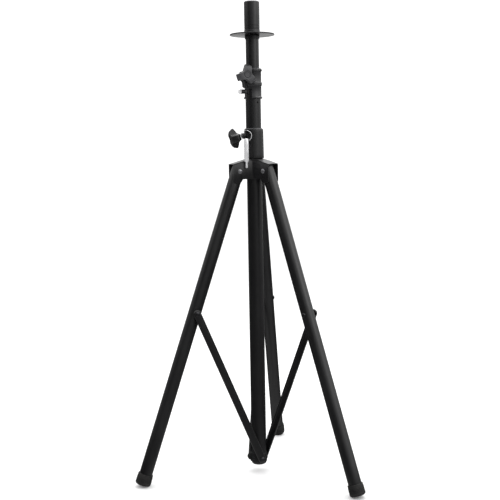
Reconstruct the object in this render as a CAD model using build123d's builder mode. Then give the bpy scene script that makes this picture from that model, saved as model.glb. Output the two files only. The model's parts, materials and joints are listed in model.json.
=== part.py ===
from build123d import *
from math import atan2, cos, degrees, hypot, radians, sin, tan
import os

# Speaker tripod stand, in millimetres, +Z up, standing on the plane Z = 0.
# The rear leg points along +Y; the other two legs are 120 degrees either side of it.

# Column and feet
axis_y = -71.5  # the column stands behind the middle of the footprint
foot_circle_r = 284.5  # where a leg's axis meets the floor
column_bottom = 18.0
tube_top = 939.5
tube_r = 17.5
tube_wall = 1.5

# Legs
leg_azimuths = {"rear": 90, "left": 210, "right": 330}
pivot_r = 40.7
pivot_z = 711.0
leg_r = 15.0
leg_wall = 1.5
leg_above_pivot = 10.0
foot_r = 18.0
foot_length = 26.0
foot_base = 6.0
foot_edge = 5.0
plug_lip = 1.5

# Braces, each on the anticlockwise side of its leg
brace_along_leg = 337.0  # hub pivot to brace bolt, along the leg
brace_foot_z = 34.0
brace_width = 17.5
brace_inner = 19.4  # offset of the channel's open edge from the leg's plane
brace_depth = 5.5
brace_sheet = 1.5

# Hub: three clevises of folded sheet under a sloping star plate
arm_half = 18.0
arm_sheet = 2.5
arm_end = 57.0
star_sheet = 2.0
star_end_z = 728.0
star_slope = 17.0
web_bottom = 684.0
web_bottom_inner = 693.0
collar_bottom = 739.8
collar_top = 806.0
collar_r_top = 21.8
collar_r_bottom = 22.8
collar_bore = 19.05

# Sliding pole and speaker fittings
pole_r = 15.0
pole_wall = 1.5
pole_bottom = 110.0
pole_top = 1060.0
flange_r = 50.8
flange_bottom = 1016.8
flange_top = 1019.3
flange_boss_top = 1028.5
flange_boss_r = 17.8
speaker_pin_r = 17.5
speaker_pin_top = 1091.0
pin_hole_r = 2.6
pin_holes = 5
pin_hole_pitch = 90.0
pin_hole_start = 330.0

# Upper clamp
clamp_bottom = 875.0
clamp_top = 940.0
clamp_azimuth = 210
ear_bottom = 899.0
ear_top = 936.5
ear_end = 30.0
ear_foot = 23.5
ear_half = 9.5
slit_half = 1.2
clamp_bolt_r = 24.3
clamp_bolt_z = 926.5
plunger_z = 891.0
window_start = 185  # the clamp's lower skirt is open here, where the plunger stands on the column
window_end = 272
window_top = 896.5
stop_hole_azimuth = 316  # small hole in the column just below the clamp
stop_hole_z = 866.0

# Knobs and screws
screw_r = 4.0
screw_hole = 4.1
knob_tip_r = 23.5
knob_tip_half = 8.0
knob_valley_r = 10.0
knob_neck_r = 7.2
knob_length = 24.0
lower_knob_azimuth = 210
lower_knob_droop = 16.0  # the screw points outwards and down
lower_knob_z = 798.4  # where the screw's line meets the column's axis
lower_boss_end = 29.0
lower_knob_start = 33.0

# Safety pin, hanging from a split ring in a lug on the collar
ring_r = 11.5
ring_wire = 1.2
ring_plane_azimuth = 10.0  # the ring hangs in a vertical plane along this direction
lug_along = -16.7
lug_out = 32.0
ring_top_z = 802.5
lug_half = 1.25
safety_pin_r = 5.2
safety_tip_r = 2.3
safety_pin_top = 785.5
safety_pin_step = 733.0
safety_pin_end = 719.0

gap = 0.05  # between still parts that are fitted together
running = 0.1  # radial clearance of parts that turn or slide

# Worked out from the above
lean = degrees(atan2(foot_circle_r - pivot_r, pivot_z))
leg_down = cos(radians(lean))
leg_out = sin(radians(lean))
foot_tip = (pivot_z - (foot_r - foot_edge) * leg_out - foot_edge) / leg_down + foot_edge
brace_top_r = pivot_r + brace_along_leg * leg_out
brace_top_z = pivot_z - brace_along_leg * leg_down
brace_length = hypot(brace_top_r, brace_top_z - brace_foot_z)
brace_outer = brace_inner + brace_depth
collar_taper = degrees(atan2(collar_r_bottom - collar_r_top, collar_top - collar_bottom))


def radial(azimuth, distance=1.0):
    return Vector(cos(radians(azimuth)), sin(radians(azimuth)), 0) * distance


def at(azimuth=0.0, r=0.0, t=0.0, z=0.0):
    """A point r out from the column's axis along an azimuth, and t to its anticlockwise side."""
    return Vector(0, axis_y, z) + radial(azimuth, r) + radial(azimuth + 90, t)


def level(z):
    """A horizontal plane centred on the column's axis."""
    return Plane(origin=at(z=z), z_dir=(0, 0, 1))


def profile(azimuth=0.0):
    """The upright plane through the column's axis: x is the radius, y is the height."""
    return Plane(origin=at(), x_dir=radial(azimuth), z_dir=radial(azimuth - 90))


def across(azimuth, r, z, t=0.0):
    """An upright plane facing the anticlockwise side of an azimuth: x points out, y down."""
    return Plane(origin=at(azimuth, r, t, z), x_dir=radial(azimuth), z_dir=radial(azimuth + 90))


def outward(azimuth, s, z, droop=0.0, t=0.0):
    """A plane facing outwards on a line that leaves the column's axis at height z."""
    direction = radial(azimuth, cos(radians(droop))) - Vector(0, 0, sin(radians(droop)))
    origin = at(azimuth, 0, t, z) + direction * s
    return Plane(origin=origin, x_dir=radial(azimuth + 90), z_dir=direction)


def leg_plane(azimuth, w):
    """A plane across a leg, w below its pivot along the leg, facing up the leg."""
    down = radial(azimuth, leg_out) - Vector(0, 0, leg_down)
    origin = at(azimuth, pivot_r, 0, pivot_z) + down * w
    return Plane(origin=origin, x_dir=radial(azimuth + 90), z_dir=down * -1)


def save(part, name):
    part.part.label = name
    export_step(part.part, f"parts/{name}.step")


def column_axis():
    return Axis(at(), (0, 0, 1))


def sleeve(name, bottom, top, outer, bore):
    with BuildPart() as tube:
        with BuildSketch(level(bottom)):
            Circle(outer)
            Circle(bore, mode=Mode.SUBTRACT)
        extrude(amount=top - bottom)
    save(tube, name)


def knob_outline():
    """The knob's three-pointed outline, as a list of corners."""
    corners = []
    for point in (90, 210, 330):
        for side in (-1, 1):
            corners.append(radial(point, knob_tip_r) + radial(point + 90, side * knob_tip_half))
        corners.append(radial(point + 60, knob_valley_r))
    return [(corner.X, corner.Y) for corner in corners]


def make_knob(name, face, stud_back, stud_name, cap_name, spin=0.0):
    """A three-pointed knob with its stud and cap; face is the plane of its neck's end."""
    spun_x = face.x_dir * cos(radians(spin)) + face.y_dir * sin(radians(spin))
    plane = Plane(origin=face.origin, x_dir=spun_x, z_dir=face.z_dir)
    side = Plane(origin=plane.origin, x_dir=plane.x_dir, z_dir=plane.y_dir * -1)
    with BuildPart() as head:
        with BuildSketch(plane):
            Polygon(*knob_outline(), align=None)
            fillet([v for v in vertices() if hypot(v.X, v.Y) > knob_valley_r + 1], 2.0)
            fillet([v for v in vertices() if abs(hypot(v.X, v.Y) - knob_valley_r) < 1], 5.0)
        extrude(amount=knob_length)
        with BuildSketch(side):
            with BuildLine():
                Polyline(
                    (0, 0),
                    (knob_neck_r, 0),
                    (knob_neck_r + 1.6, 3.5),
                    (knob_neck_r + 4.0, 7.0),
                    (knob_tip_r - 3, 9.8),
                    (knob_tip_r + 1, 11.5),
                    (knob_tip_r + 1, 14.0),
                    (knob_tip_r - 5, knob_length - 1.0),
                    (knob_tip_r - 7, knob_length),
                    (0, knob_length),
                    close=True,
                )
            make_face()
        revolve(axis=Axis(plane.origin, plane.z_dir), mode=Mode.INTERSECT)
        with BuildSketch(plane):
            Circle(screw_r + gap)
        extrude(amount=16.0, mode=Mode.SUBTRACT)
        with BuildSketch(plane.offset(knob_length - 2.0)):
            Circle(7.0)
        extrude(amount=3.0, mode=Mode.SUBTRACT)
    save(head, name)

    with BuildPart() as stud:
        with BuildSketch(plane.offset(stud_back)):
            Circle(screw_r)
        extrude(amount=15.5 - stud_back)
        chamfer(edges().sort_by(Axis(plane.origin, plane.z_dir))[0], 0.8)
    save(stud, stud_name)

    with BuildPart() as cap:
        with BuildSketch(plane.offset(knob_length - 2.0 + gap)):
            Circle(7.0 - gap)
        extrude(amount=2.2)
        fillet(edges().sort_by(Axis(plane.origin, plane.z_dir))[-1], 0.8)
    save(cap, cap_name)


def facing_back(plane):
    return Plane(origin=plane.origin, x_dir=plane.x_dir, z_dir=plane.z_dir * -1)


def make_column():
    with BuildPart() as tube:
        with BuildSketch(level(column_bottom + 6)):
            Circle(tube_r)
            Circle(tube_r - tube_wall, mode=Mode.SUBTRACT)
        extrude(amount=tube_top - column_bottom - 6)
        with BuildSketch(outward(clamp_azimuth, 0, tube_top)):
            Rectangle(2 * slit_half, 72)
        extrude(amount=tube_r + 1, mode=Mode.SUBTRACT)
        with BuildSketch(outward(clamp_azimuth, 0, plunger_z)):
            Circle(2.2)
        extrude(amount=tube_r + 1, mode=Mode.SUBTRACT)
        with BuildSketch(outward(stop_hole_azimuth, 0, stop_hole_z)):
            Circle(2.0)
        extrude(amount=tube_r + 1, mode=Mode.SUBTRACT)
        for azimuth in (0, 120, 240):
            with BuildSketch(outward(azimuth, 0, brace_foot_z)):
                Circle(2.1)
            extrude(amount=tube_r + 1, mode=Mode.SUBTRACT)
    save(tube, "main_tube")

    with BuildPart() as cap:
        with BuildSketch(profile()):
            with BuildLine():
                foot_line = Line((0, column_bottom), (tube_r - 5, column_bottom))
                RadiusArc(foot_line @ 1, (tube_r, column_bottom + 4), -5.2)
                Polyline(
                    (tube_r, column_bottom + 4),
                    (tube_r, column_bottom + 6),
                    (tube_r - tube_wall - gap, column_bottom + 6),
                    (tube_r - tube_wall - gap, column_bottom + 13),
                    (0, column_bottom + 13),
                    (0, column_bottom),
                )
            make_face()
        revolve(axis=column_axis())
    save(cap, "column_end_plug")

    with BuildPart() as bracket:
        with BuildSketch(level(brace_foot_z - 10)):
            Circle(tube_r + 1.5)
        extrude(amount=22)
        for azimuth in leg_azimuths.values():
            with BuildSketch(across(azimuth, 0, brace_foot_z + 1, 10)):
                RectangleRounded(20, 22, 4)
            extrude(amount=brace_inner - 0.3 - 10)
        with BuildSketch(level(brace_foot_z - 11)):
            Circle(tube_r + gap)
        extrude(amount=24, mode=Mode.SUBTRACT)
        for azimuth in (0, 120, 240):
            with BuildSketch(outward(azimuth, 0, brace_foot_z)):
                Circle(2.1)
            extrude(amount=tube_r + 5, mode=Mode.SUBTRACT)
    save(bracket, "brace_bracket")

    with BuildPart() as screws:
        for azimuth in (0, 120, 240):
            with BuildSketch(outward(azimuth, tube_r - 2.5, brace_foot_z)):
                Circle(2.0)
            extrude(amount=5.0)
            with BuildSketch(outward(azimuth, tube_r + 1.5 + gap, brace_foot_z)):
                Circle(3.6)
            extrude(amount=1.8, taper=18)
    save(screws, "bracket_screws")


def make_clamp():
    with BuildPart() as body:
        with BuildSketch(profile()):
            with BuildLine():
                Polyline(
                    (tube_r + gap, clamp_bottom),
                    (20.6, clamp_bottom),
                    (21.2, clamp_bottom + 0.8),
                    (21.2, clamp_bottom + 2.6),
                    (19.2, clamp_bottom + 4.2),
                    (19.2, 903.5),
                    (20.6, 904.5),
                    (20.6, 911.0),
                    (19.3, 912.2),
                    (19.3, clamp_top - 4.2),
                    (21.2, clamp_top - 2.8),
                    (21.2, clamp_top - 0.8),
                    (20.6, clamp_top),
                    (tube_r + gap, clamp_top),
                    close=True,
                )
            make_face()
        revolve(axis=column_axis())
        with BuildSketch(profile(clamp_azimuth).offset(-ear_half)):
            with BuildLine():
                Polyline(
                    (18.4, ear_bottom),
                    (18.4, ear_top),
                    (ear_end - 4, ear_top),
                    (ear_end, ear_top - 5),
                    (ear_end, clamp_bolt_z - 8),
                    (ear_foot, clamp_bolt_z - 13),
                    (ear_foot - 1, ear_bottom + 3),
                    close=True,
                )
            make_face()
        extrude(amount=2 * ear_half)
        with BuildSketch(outward(clamp_azimuth, 0, clamp_top)):
            Rectangle(2 * slit_half, 2 * (clamp_top - ear_bottom + 8))
        extrude(amount=ear_end + 2, mode=Mode.SUBTRACT)
        with BuildSketch(across(clamp_azimuth, clamp_bolt_r, clamp_bolt_z, -ear_half - 1)):
            Circle(screw_hole)
        extrude(amount=2 * ear_half + 2, mode=Mode.SUBTRACT)
        with BuildSketch(level(clamp_bottom - 1)):
            with BuildLine():
                window = CenterArc((0, 0), 30, window_start, window_end - window_start)
                Line((0, 0), window @ 0)
                Line((0, 0), window @ 1)
            make_face()
        extrude(amount=window_top - clamp_bottom + 1, mode=Mode.SUBTRACT)
    save(body, "upper_clamp_body")

    with BuildPart() as bush:
        with BuildSketch(profile()):
            with BuildLine():
                Polyline(
                    (pole_r + running, 902),
                    (tube_r - tube_wall - gap, 902),
                    (tube_r - tube_wall - gap, clamp_top + gap),
                    (19.4, clamp_top + gap),
                    (19.9, clamp_top + 0.8),
                    (18.8, clamp_top + 2.8),
                    (pole_r + running, clamp_top + 2.8),
                    close=True,
                )
            make_face()
        revolve(axis=column_axis())
        with BuildSketch(outward(clamp_azimuth, 0, tube_top)):
            Rectangle(2 * slit_half, 90)
        extrude(amount=tube_r + 4, mode=Mode.SUBTRACT)
    save(bush, "upper_clamp_bush")

    with BuildPart() as nut:
        with BuildSketch(across(clamp_azimuth, clamp_bolt_r, clamp_bolt_z, -ear_half - 6.5)):
            RegularPolygon(7.3, 6, rotation=30)
            Circle(screw_r + gap, mode=Mode.SUBTRACT)
        extrude(amount=6.5 - gap)
    save(nut, "clamp_nut")

    with BuildPart() as washer:
        with BuildSketch(across(clamp_azimuth, clamp_bolt_r, clamp_bolt_z, ear_half + 0.1)):
            Circle(7.2)
            Circle(screw_r + gap, mode=Mode.SUBTRACT)
        extrude(amount=1.4)
    save(washer, "clamp_washer")

    neck = across(clamp_azimuth, clamp_bolt_r, clamp_bolt_z, ear_half + 1.6)
    make_knob("upper_knob", neck, -28.5, "upper_knob_stud", "upper_knob_cap", spin=168)


def make_plunger():
    with BuildPart() as barrel:
        with BuildSketch(outward(clamp_azimuth, tube_r - 2, plunger_z)):
            Circle(5.0)
        extrude(amount=28.5 - tube_r + 2)
        with BuildSketch(level(plunger_z - 8)):
            Circle(tube_r + gap)
        extrude(amount=16, mode=Mode.SUBTRACT)
        with BuildSketch(outward(clamp_azimuth, tube_r - 2, plunger_z)):
            Circle(2.0 + running)
        extrude(amount=15, mode=Mode.SUBTRACT)
        with BuildSketch(outward(clamp_azimuth, 19.3, plunger_z)):
            Circle(3.7)
        extrude(amount=7.2, mode=Mode.SUBTRACT)
    save(barrel, "plunger_barrel")

    with BuildPart() as pin:
        with BuildSketch(outward(clamp_azimuth, pole_r + 0.4, plunger_z)):
            Circle(2.0)
        extrude(amount=31.0 - pole_r - 0.4)
        with BuildSketch(outward(clamp_azimuth, 19.5, plunger_z)):
            Circle(3.4)
        extrude(amount=1.5)
    save(pin, "plunger_pin")

    with BuildPart() as cap:
        with BuildSketch(outward(clamp_azimuth, 28.8, plunger_z)):
            Circle(4.9)
        extrude(amount=5.5)
        fillet(edges().sort_by(Axis(at(), radial(clamp_azimuth)))[-1], 1.2)
        with BuildSketch(outward(clamp_azimuth, 28.0, plunger_z)):
            Circle(2.0 + gap)
        extrude(amount=3.2, mode=Mode.SUBTRACT)
    save(cap, "plunger_cap")

    coil_start = outward(clamp_azimuth, 21.6, plunger_z)
    with BuildPart() as spring:
        with BuildLine():
            coil = Helix(pitch=1.0, height=4.2, radius=2.8, center=coil_start.origin,
                         direction=coil_start.z_dir)
        with BuildSketch(Plane(origin=coil @ 0, z_dir=coil % 0)):
            Circle(0.35)
        sweep(is_frenet=True)
    save(spring, "plunger_spring")


def star_z(r):
    return star_end_z + (arm_end - r) * tan(radians(star_slope))


def make_hub():
    bore = tube_r + 0.2
    with BuildPart() as star:
        with BuildSketch(level(web_bottom)):
            Circle(24)
            for azimuth in leg_azimuths.values():
                with Locations(Location((0, 0, 0), (0, 0, azimuth))):
                    Rectangle(arm_end, 2 * arm_half, align=(Align.MIN, Align.CENTER))
            Circle(bore, mode=Mode.SUBTRACT)
        extrude(amount=80)
        corners = edges().filter_by(Axis.Z)
        fillet([e for e in corners if (e.center() - at(z=e.center().Z)).length > arm_end], 3.0)
        with BuildSketch(profile()):
            with BuildLine():
                Polyline(
                    (0, star_z(0)),
                    (arm_end + 5, star_z(arm_end + 5)),
                    (arm_end + 5, star_z(arm_end + 5) - star_sheet),
                    (0, star_z(0) - star_sheet),
                    close=True,
                )
            make_face()
        revolve(axis=column_axis(), mode=Mode.INTERSECT)
    save(star, "hub_star_plate")

    inner = arm_half - arm_sheet
    azimuths = list(leg_azimuths.values())
    for number, azimuth in enumerate(azimuths, start=1):
        after = azimuth + 120
        bisector = azimuth + 60
        with BuildPart() as web:
            with BuildSketch(level(web_bottom)):
                outline = [
                    at(azimuth, arm_end - 1, inner),
                    at(azimuth, arm_end - 1, arm_half),
                    at(bisector, arm_half / sin(radians(60))),
                    at(after, arm_end - 1, -arm_half),
                    at(after, arm_end - 1, -inner),
                    at(bisector, inner / sin(radians(60))),
                ]
                Polygon(*[(p.X, p.Y - axis_y) for p in outline], align=None)
            extrude(amount=70)
            bends = edges().filter_by(Axis.Z)
            fillet([e for e in bends if (e.center() - at(z=e.center().Z)).length < 22], 0.3)
            with BuildSketch(profile()):
                with BuildLine():
                    Polyline(
                        (10, web_bottom_inner),
                        (37, web_bottom_inner),
                        (43, web_bottom),
                        (arm_end - 4, web_bottom),
                        (arm_end + 5, web_bottom + 6),
                        (arm_end + 5, star_z(arm_end + 5) - star_sheet - gap),
                        (10, star_z(10) - star_sheet - gap),
                        close=True,
                    )
                make_face()
            revolve(axis=column_axis(), mode=Mode.INTERSECT)
            for side, offset in ((azimuth, inner - 1), (after, -arm_half - 1)):
                with BuildSketch(across(side, pivot_r, pivot_z, offset)):
                    Circle(3.0 + gap)
                extrude(amount=arm_sheet + 2, mode=Mode.SUBTRACT)
        save(web, f"hub_web_{number}")

    with BuildPart() as pivots:
        for azimuth in leg_azimuths.values():
            with BuildSketch(across(azimuth, pivot_r, pivot_z, -arm_half - gap)):
                Circle(3.0)
            extrude(amount=2 * (arm_half + gap))
            near_side = across(azimuth, pivot_r, pivot_z, arm_half + gap)
            far_side = facing_back(across(azimuth, pivot_r, pivot_z, -arm_half - gap))
            for seat in (near_side, far_side):
                with BuildSketch(seat):
                    Circle(5.4)
                extrude(amount=3.2)
                fillet(faces().sort_by_distance(seat.offset(3.2).origin)[0].edges(), 2.7)
    save(pivots, "leg_pivot_bolts")


def knob_line(s):
    return outward(lower_knob_azimuth, s, lower_knob_z, lower_knob_droop)


def make_collar():
    with BuildPart() as collar:
        with BuildSketch(profile()):
            with BuildLine():
                Polyline(
                    (collar_bore, collar_bottom),
                    (collar_r_bottom - 0.6, collar_bottom),
                    (collar_r_bottom, collar_bottom + 0.8),
                    (collar_r_top, collar_top - 0.8),
                    (collar_r_top - 0.6, collar_top),
                    (collar_bore, collar_top),
                    close=True,
                )
            make_face()
        revolve(axis=column_axis())
        with BuildSketch(knob_line(8)):
            Circle(screw_hole)
        extrude(amount=30, mode=Mode.SUBTRACT)
    save(collar, "slide_collar")

    with BuildPart() as bush:
        with BuildSketch(profile()):
            with BuildLine():
                Polyline(
                    (tube_r + running, collar_bottom + 1.5),
                    (collar_bore - gap, collar_bottom + 1.5),
                    (collar_bore - gap, collar_top + gap),
                    (20.2, collar_top + gap),
                    (20.4, collar_top + 0.6),
                    (19.6, collar_top + 2.2),
                    (tube_r + running, collar_top + 2.2),
                    close=True,
                )
            make_face()
        revolve(axis=column_axis())
        with BuildSketch(knob_line(8)):
            Circle(screw_hole)
        extrude(amount=30, mode=Mode.SUBTRACT)
    save(bush, "slide_collar_bush")

    with BuildPart() as boss:
        with BuildSketch(knob_line(12)):
            Circle(6.6)
        extrude(amount=lower_boss_end - 12)
        fillet(edges().sort_by(Axis(at(), radial(lower_knob_azimuth)))[-1], 0.8)
        with BuildSketch(knob_line(10)):
            Circle(screw_hole)
        extrude(amount=30, mode=Mode.SUBTRACT)
        with BuildSketch(level(collar_bottom)):
            Circle(collar_r_bottom + 0.2)
        extrude(amount=collar_top - collar_bottom, taper=collar_taper, mode=Mode.SUBTRACT)
    save(boss, "collar_boss")

    out_azimuth = ring_plane_azimuth - 90
    lug_base = at(ring_plane_azimuth, lug_along - lug_half, 0, ring_top_z)
    side = Plane(origin=lug_base, x_dir=radial(out_azimuth), z_dir=radial(ring_plane_azimuth))
    with BuildPart() as lug:
        with BuildSketch(side):
            with Locations((lug_out / 2, 0)):
                Rectangle(lug_out, 8.0)
            with Locations((lug_out, 0)):
                Circle(4.0)
                Circle(ring_wire + 1.0, mode=Mode.SUBTRACT)
        extrude(amount=2 * lug_half)
        with BuildSketch(level(collar_bottom)):
            Circle(collar_r_bottom + 0.2)
        extrude(amount=collar_top - collar_bottom + 3, taper=collar_taper, mode=Mode.SUBTRACT)
    save(lug, "safety_pin_lug")

    with BuildPart() as pad:
        with BuildSketch(knob_line(tube_r + 1.9)):
            Circle(screw_r - 0.3)
        extrude(amount=2.4)
    save(pad, "collar_screw_pad")

    make_knob("lower_knob", knob_line(lower_knob_start), 22.0 - lower_knob_start,
              "lower_knob_stud", "lower_knob_cap", spin=30)


def make_safety_pin():
    out_azimuth = ring_plane_azimuth - 90
    top = at(ring_plane_azimuth, lug_along, 0, ring_top_z) + radial(out_azimuth, lug_out)
    centre = top - Vector(0, 0, ring_r)
    with BuildPart() as ring:
        section = Plane(origin=centre + Vector(0, 0, ring_r), x_dir=(0, 0, 1),
                        z_dir=radial(ring_plane_azimuth))
        with BuildSketch(section):
            Circle(ring_wire)
        revolve(axis=Axis(centre, radial(out_azimuth)))
    save(ring, "split_ring")

    foot = top - Vector(0, 0, 2 * ring_r)
    upright = Plane(origin=(foot.X, foot.Y, 0), x_dir=radial(ring_plane_azimuth),
                    z_dir=radial(out_azimuth))
    with BuildPart() as pin:
        with BuildSketch(upright):
            with BuildLine():
                Polyline(
                    (0, safety_pin_end),
                    (safety_tip_r - 0.8, safety_pin_end),
                    (safety_tip_r, safety_pin_end + 1.4),
                    (safety_tip_r, safety_pin_step - 2),
                    (safety_pin_r, safety_pin_step + 1),
                    (safety_pin_r, safety_pin_top - 3),
                    (safety_pin_r - 2.4, safety_pin_top),
                    (0, safety_pin_top),
                    close=True,
                )
            make_face()
        revolve(axis=Axis((foot.X, foot.Y, 0), (0, 0, 1)))
        eye = Plane(origin=foot - radial(ring_plane_azimuth, 8), x_dir=radial(out_azimuth),
                    z_dir=radial(ring_plane_azimuth))
        with BuildSketch(eye):
            Circle(ring_wire + 1.5)
        extrude(amount=16, mode=Mode.SUBTRACT)
    save(pin, "safety_pin")


def make_leg(name, azimuth):
    with BuildPart() as tube:
        with BuildSketch(leg_plane(azimuth, foot_tip - foot_base - gap)):
            Circle(leg_r)
            Circle(leg_r - leg_wall, mode=Mode.SUBTRACT)
        extrude(amount=foot_tip - foot_base - gap + leg_above_pivot - plug_lip)
        for r, z, hole in ((pivot_r, pivot_z, 3.0 + running), (brace_top_r, brace_top_z, 3.0 + gap)):
            with BuildSketch(across(azimuth, r, z, -leg_r - 1)):
                Circle(hole)
            extrude(amount=2 * leg_r + 2, mode=Mode.SUBTRACT)
    save(tube, f"{name}_leg_tube")

    with BuildPart() as plug:
        with BuildSketch(leg_plane(azimuth, -leg_above_pivot + plug_lip - gap)):
            Circle(leg_r)
        extrude(amount=plug_lip - gap)
        fillet(edges().sort_by(Axis.Z)[-1], 1.0)
        with BuildSketch(leg_plane(azimuth, -leg_above_pivot + plug_lip - gap)):
            Circle(leg_r - leg_wall - gap)
        extrude(amount=-4.0)
    save(plug, f"{name}_leg_plug")

    with BuildPart() as foot:
        with BuildSketch(leg_plane(azimuth, foot_tip)):
            Circle(foot_r)
        extrude(amount=foot_length)
        fillet(edges().sort_by(Axis.Z)[0], foot_edge)
        fillet(edges().sort_by(Axis.Z)[-1], 1.2)
        with BuildSketch(leg_plane(azimuth, foot_tip - foot_base)):
            Circle(leg_r + gap)
        extrude(amount=foot_length, mode=Mode.SUBTRACT)
    save(foot, f"{name}_foot")

    with BuildPart() as bolt:
        with BuildSketch(across(azimuth, brace_top_r, brace_top_z, -leg_r - gap)):
            Circle(3.0)
        extrude(amount=leg_r + brace_outer + 0.3 + gap)
        nut_seat = across(azimuth, brace_top_r, brace_top_z, brace_outer + 0.2)
        head_seat = facing_back(across(azimuth, brace_top_r, brace_top_z, -leg_r - gap))
        for seat, radius, height in ((nut_seat, 6.6, 4.4), (head_seat, 5.0, 2.8)):
            with BuildSketch(seat):
                Circle(radius)
            extrude(amount=height)
            fillet(faces().sort_by_distance(seat.offset(height).origin)[0].edges(), 0.85 * height)
        with BuildSketch(across(azimuth, brace_top_r, brace_top_z, leg_r + gap)):
            Circle(6.0)
            Circle(3.0 + gap, mode=Mode.SUBTRACT)
        extrude(amount=brace_inner - leg_r - 0.3)
    save(bolt, f"{name}_brace_bolt")


def make_brace(name, azimuth):
    slope = degrees(atan2(brace_top_z - brace_foot_z, brace_top_r))
    run = radial(azimuth, cos(radians(slope))) + Vector(0, 0, sin(radians(slope)))

    def brace_plane(offset):
        origin = at(azimuth, 0, offset, brace_foot_z)
        return Plane(origin=origin, x_dir=run, z_dir=radial(azimuth + 90))

    with BuildPart() as channel:
        with BuildSketch(brace_plane(brace_inner)):
            with Locations((brace_length / 2, 0)):
                SlotCenterToCenter(brace_length, brace_width)
        extrude(amount=brace_depth)
        outer_face = faces().sort_by(Axis(at(), radial(azimuth + 90)))[-1]
        fillet(outer_face.edges(), 1.6)
        with BuildSketch(brace_plane(brace_inner)):
            with Locations((brace_length / 2, 0)):
                SlotCenterToCenter(brace_length, brace_width - 2 * brace_sheet)
        extrude(amount=brace_depth - brace_sheet, mode=Mode.SUBTRACT)
        with BuildSketch(brace_plane(brace_inner)):
            Circle(3.0 + gap)
            with Locations((brace_length, 0)):
                Circle(3.0 + running)
        extrude(amount=brace_depth + 1, mode=Mode.SUBTRACT)
    save(channel, f"{name}_brace")

    with BuildPart() as rivet:
        with BuildSketch(brace_plane(brace_inner)):
            Circle(5.0)
        extrude(amount=brace_depth - brace_sheet - gap)
        with BuildSketch(brace_plane(brace_inner)):
            Circle(3.0)
        extrude(amount=brace_depth + 0.3)
        seat = brace_plane(brace_outer + gap)
        with BuildSketch(seat):
            Circle(5.4)
        extrude(amount=3.0)
        fillet(faces().sort_by_distance(seat.offset(3.0).origin)[0].edges(), 2.5)
    save(rivet, f"{name}_brace_rivet")


def make_pole():
    with BuildPart() as pole:
        with BuildSketch(level(pole_bottom)):
            Circle(pole_r)
            Circle(pole_r - pole_wall, mode=Mode.SUBTRACT)
        extrude(amount=pole_top - pole_bottom)
        for number in range(pin_holes):
            height = pin_hole_start + number * pin_hole_pitch
            with BuildSketch(outward(300, -pole_r - 1, height)):
                Circle(pin_hole_r)
            extrude(amount=2 * pole_r + 2, mode=Mode.SUBTRACT)
    save(pole, "inner_pole")

    sleeve("pole_guide_bush", pole_bottom + 2, pole_bottom + 34, tube_r - tube_wall - running,
           pole_r + gap)

    with BuildPart() as plug:
        with BuildSketch(level(pole_bottom - 2.5)):
            Circle(pole_r)
        extrude(amount=2.5 - gap)
        with BuildSketch(level(pole_bottom - 2.5)):
            Circle(pole_r - pole_wall - gap)
        extrude(amount=16)
    save(plug, "pole_end_plug")

    with BuildPart() as flange:
        with BuildSketch(profile()):
            with BuildLine():
                Polyline(
                    (pole_r + gap, flange_bottom),
                    (flange_r - 0.6, flange_bottom),
                    (flange_r, flange_bottom + 0.6),
                    (flange_r, flange_top - 0.6),
                    (flange_r - 0.6, flange_top),
                    (flange_boss_r + 1.2, flange_top),
                    (flange_boss_r, flange_top + 1.2),
                    (flange_boss_r, flange_boss_top - 0.6),
                    (flange_boss_r - 0.6, flange_boss_top),
                    (pole_r + gap, flange_boss_top),
                    close=True,
                )
            make_face()
        revolve(axis=column_axis())
    save(flange, "speaker_flange")

    with BuildPart() as collar:
        with BuildSketch(profile()):
            with BuildLine():
                Polyline(
                    (pole_r + gap, 1008.5),
                    (16.2, 1008.5),
                    (16.8, 1010),
                    (16.8, flange_bottom - gap),
                    (pole_r + gap, flange_bottom - gap),
                    close=True,
                )
            make_face()
        revolve(axis=column_axis())
    save(collar, "flange_collar")

    with BuildPart() as pin:
        with BuildSketch(profile()):
            with BuildLine():
                Polyline(
                    (pole_r + gap, flange_boss_top + gap),
                    (speaker_pin_r, flange_boss_top + gap),
                    (speaker_pin_r, 1030.4),
                    (speaker_pin_r - 0.5, 1030.7),
                    (speaker_pin_r - 0.5, 1031.9),
                    (speaker_pin_r, 1032.2),
                    (speaker_pin_r, 1036.8),
                    (speaker_pin_r - 0.5, 1037.1),
                    (speaker_pin_r - 0.5, 1038.3),
                    (speaker_pin_r, 1038.6),
                    (speaker_pin_r, speaker_pin_top - 1.5),
                    (speaker_pin_r - 1.2, speaker_pin_top),
                    (pole_r + gap, speaker_pin_top),
                    close=True,
                )
            make_face()
        revolve(axis=column_axis())
    save(pin, "speaker_pin_sleeve")

    with BuildPart() as cap:
        with BuildSketch(profile()):
            with BuildLine():
                Polyline(
                    (0, 1076),
                    (pole_r, 1076),
                    (pole_r, speaker_pin_top + gap),
                    (speaker_pin_r - 2, speaker_pin_top + gap),
                    (speaker_pin_r - 2.4, speaker_pin_top + 0.9),
                    (13, speaker_pin_top + 1.2),
                    (9, speaker_pin_top + 2.1),
                    (4, speaker_pin_top + 2.6),
                    (0, speaker_pin_top + 2.6),
                    close=True,
                )
            make_face()
        revolve(axis=column_axis())
    save(cap, "speaker_pin_cap")


os.makedirs("parts", exist_ok=True)
make_column()
make_clamp()
make_plunger()
make_hub()
make_collar()
make_safety_pin()
for leg_name, leg_azimuth in leg_azimuths.items():
    make_leg(leg_name, leg_azimuth)
    make_brace(leg_name, leg_azimuth)
make_pole()
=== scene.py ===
import json
from math import atan2, cos, degrees, hypot, pi, radians, sin, tan

import bmesh
import bpy
from mathutils import Matrix, Vector

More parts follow.
